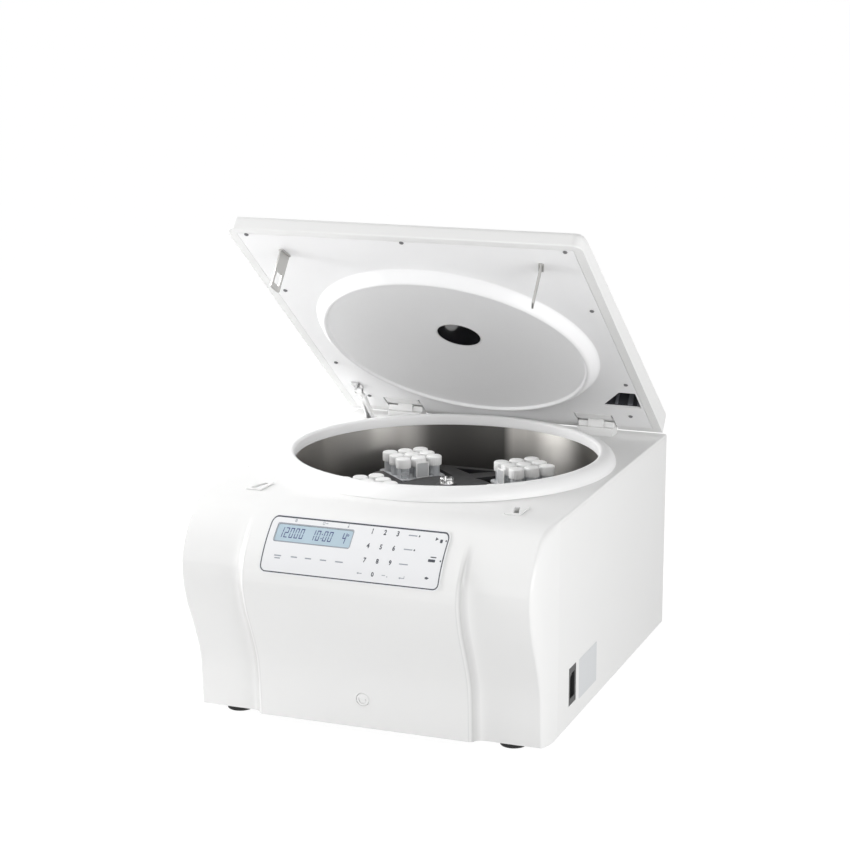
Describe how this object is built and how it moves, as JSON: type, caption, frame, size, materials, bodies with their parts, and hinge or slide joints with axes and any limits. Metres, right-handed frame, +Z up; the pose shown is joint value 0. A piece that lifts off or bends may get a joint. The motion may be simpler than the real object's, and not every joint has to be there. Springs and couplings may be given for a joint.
{
  "type": "refrigerated bench centrifuge",
  "caption": "Bench centrifuge with a curved white case, a hinged lid held open by a gas strut, a steel chamber and a swing-out rotor that carries racks of capped tubes.",
  "frame": {"origin": "on the bench under the middle of the footprint", "axes": "+X to the machine's right as seen from the front, -Y out of the front, +Z up"},
  "size_m": [0.5, 0.6358, 0.6578],
  "materials": {
    "white_moulding": "satin moulded white",
    "white_painted_steel": "smooth satin paint",
    "lid_liner": "fine matt moulding",
    "white_seal": "smooth white seal rubber",
    "stainless_steel": "circumferentially brushed",
    "bright_steel": "polished",
    "zinc_sheet": "zinc-plated sheet",
    "black_rotor": "satin black coating",
    "black_plastic": "matt moulded",
    "rocker_black": "glossy moulded",
    "black_rubber": "matt",
    "copper": "drawn copper tube",
    "keypad_film": "printed polyester film",
    "display_window": "backlit display",
    "green_board": "solder resist",
    "insulation": "closed-cell foam",
    "motor_grey": "grey painted casting",
    "tube_rack": "moulded polypropylene",
    "sight_glass": "dark clear window",
    "latch_plastic": "moulded",
    "plug": "moulded",
    "dark_case": "dark paint",
    "compressor_black": "satin black enamel",
    "condenser_fins": "pressed fins"
  },
  "bodies": {
    "case": {"upper_cover": "white_moulding", "left_side_sheet": "white_painted_steel", "right_side_sheet": "white_painted_steel", "rear_sheet": "white_painted_steel", "base_plate": "zinc_sheet", "board_bracket": "zinc_sheet", "guard_ring": "zinc_sheet", "bowl_floor": "stainless_steel", "foot_front_left": "black_rubber", "foot_front_right": "black_rubber", "foot_rear_left": "black_rubber", "foot_rear_right": "black_rubber", "motor_damper_1": "black_rubber", "motor_damper_2": "black_rubber", "motor_damper_3": "black_rubber", "rim_gasket": "white_seal", "chamber_bowl": "stainless_steel", "evaporator_coil": "copper", "refrigerant_line": "copper", "bowl_insulation": "insulation", "motor_housing": "motor_grey", "hinge_bracket_left": "white_painted_steel", "hinge_bracket_right": "white_painted_steel", "latch_housing_left": "latch_plastic", "latch_housing_right": "latch_plastic", "keypad_film": "keypad_film", "display_window": "display_window", "control_board": "green_board", "switch_bezel": "black_plastic", "mains_inlet": "black_plastic", "power_unit": "dark_case", "compressor": "compressor_black", "condenser": "condenser_fins", "fan_frame": "black_plastic"},
    "lid": {"lid_shell": "white_moulding", "lid_liner": "lid_liner", "sight_window": "sight_glass", "striker_hook_left": "bright_steel", "striker_hook_right": "bright_steel", "hinge_leaf_left": "white_painted_steel", "hinge_leaf_right": "white_painted_steel", "strut_lug": "bright_steel"},
    "strut_lower": {"strut_rod": "bright_steel"},
    "strut_upper": {"strut_barrel": "bright_steel"},
    "rotor": {"drive_shaft": "bright_steel", "rotor_cross": "black_rotor", "rotor_nut": "bright_steel"},
    "bucket_swing_1": {"bucket_1": "black_rotor", "tube_rack_1": "tube_rack"},
    "bucket_swing_2": {"bucket_2": "black_rotor", "tube_rack_2": "tube_rack"},
    "bucket_swing_3": {"bucket_3": "black_rotor", "tube_rack_3": "tube_rack"},
    "bucket_swing_4": {"bucket_4": "black_rotor", "tube_rack_4": "tube_rack"},
    "fan": {"fan_blades": "black_plastic"},
    "bolt_left": {"latch_bolt_left": "bright_steel"},
    "bolt_right": {"latch_bolt_right": "bright_steel"},
    "switch": {"power_rocker": "rocker_black"},
    "plug": {"release_plug": "plug"}
  },
  "joints": [
    {"name": "lid_hinge", "type": "hinge", "parent": "case", "child": "lid", "pos_m": [0, 0.28148, 0.331], "axis": [-1, 0, 0], "range_deg": [-37.7, 0], "stiffness_Nm_per_rad": 6, "springref_deg": 91.67},
    {"name": "strut_swing", "type": "hinge", "parent": "case", "child": "strut_lower", "pos_m": [-0.205, 0.3015, 0.256], "axis": [-1, 0, 0], "range_deg": [-16.2, 0]},
    {"name": "strut_slide", "type": "slide", "parent": "strut_lower", "child": "strut_upper", "axis": [0, -0.6436, 0.7653], "range_m": [-0.027, 0]},
    {"name": "rotor_spin", "type": "hinge", "parent": "case", "child": "rotor", "pos_m": [0, 0.0476, 0.245], "axis": [0, 0, 1], "continuous": true},
    {"name": "bucket_hinge_1", "type": "hinge", "parent": "rotor", "child": "bucket_swing_1", "pos_m": [0.08697, 0.13457, 0.245], "axis": [0.7071, -0.7071, 0], "range_deg": [0, 90]},
    {"name": "bucket_hinge_2", "type": "hinge", "parent": "rotor", "child": "bucket_swing_2", "pos_m": [-0.08697, 0.13457, 0.245], "axis": [0.7071, 0.7071, 0], "range_deg": [0, 90]},
    {"name": "bucket_hinge_3", "type": "hinge", "parent": "rotor", "child": "bucket_swing_3", "pos_m": [-0.08697, -0.03937, 0.245], "axis": [-0.7071, 0.7071, 0], "range_deg": [0, 90]},
    {"name": "bucket_hinge_4", "type": "hinge", "parent": "rotor", "child": "bucket_swing_4", "pos_m": [0.08697, -0.03937, 0.245], "axis": [-0.7071, -0.7071, 0], "range_deg": [0, 90]},
    {"name": "fan_spin", "type": "hinge", "parent": "case", "child": "fan", "pos_m": [0.183, 0.3025, 0.0643], "axis": [0, 1, 0], "continuous": true},
    {"name": "bolt_left_slide", "type": "slide", "parent": "case", "child": "bolt_left", "axis": [-1, 0, 0], "range_m": [0, 0.009]},
    {"name": "bolt_right_slide", "type": "slide", "parent": "case", "child": "bolt_right", "axis": [1, 0, 0], "range_m": [0, 0.009]},
    {"name": "switch_rock", "type": "hinge", "parent": "case", "child": "switch", "pos_m": [0.2431, -0.146, 0.061], "axis": [0, 1, 0], "range_deg": [-12, 0]},
    {"name": "plug_pull", "type": "slide", "parent": "case", "child": "plug", "axis": [0, -1, 0], "range_m": [0, 0.012]}
  ],
  "couplings": [
    {"joint": "strut_swing", "follows": "lid_hinge", "ratio": 0.42682},
    {"joint": "strut_slide", "follows": "lid_hinge", "m_per_rad": 0.040756},
    {"joint": "bolt_right_slide", "follows": "bolt_left_slide", "ratio": 1}
  ]
}
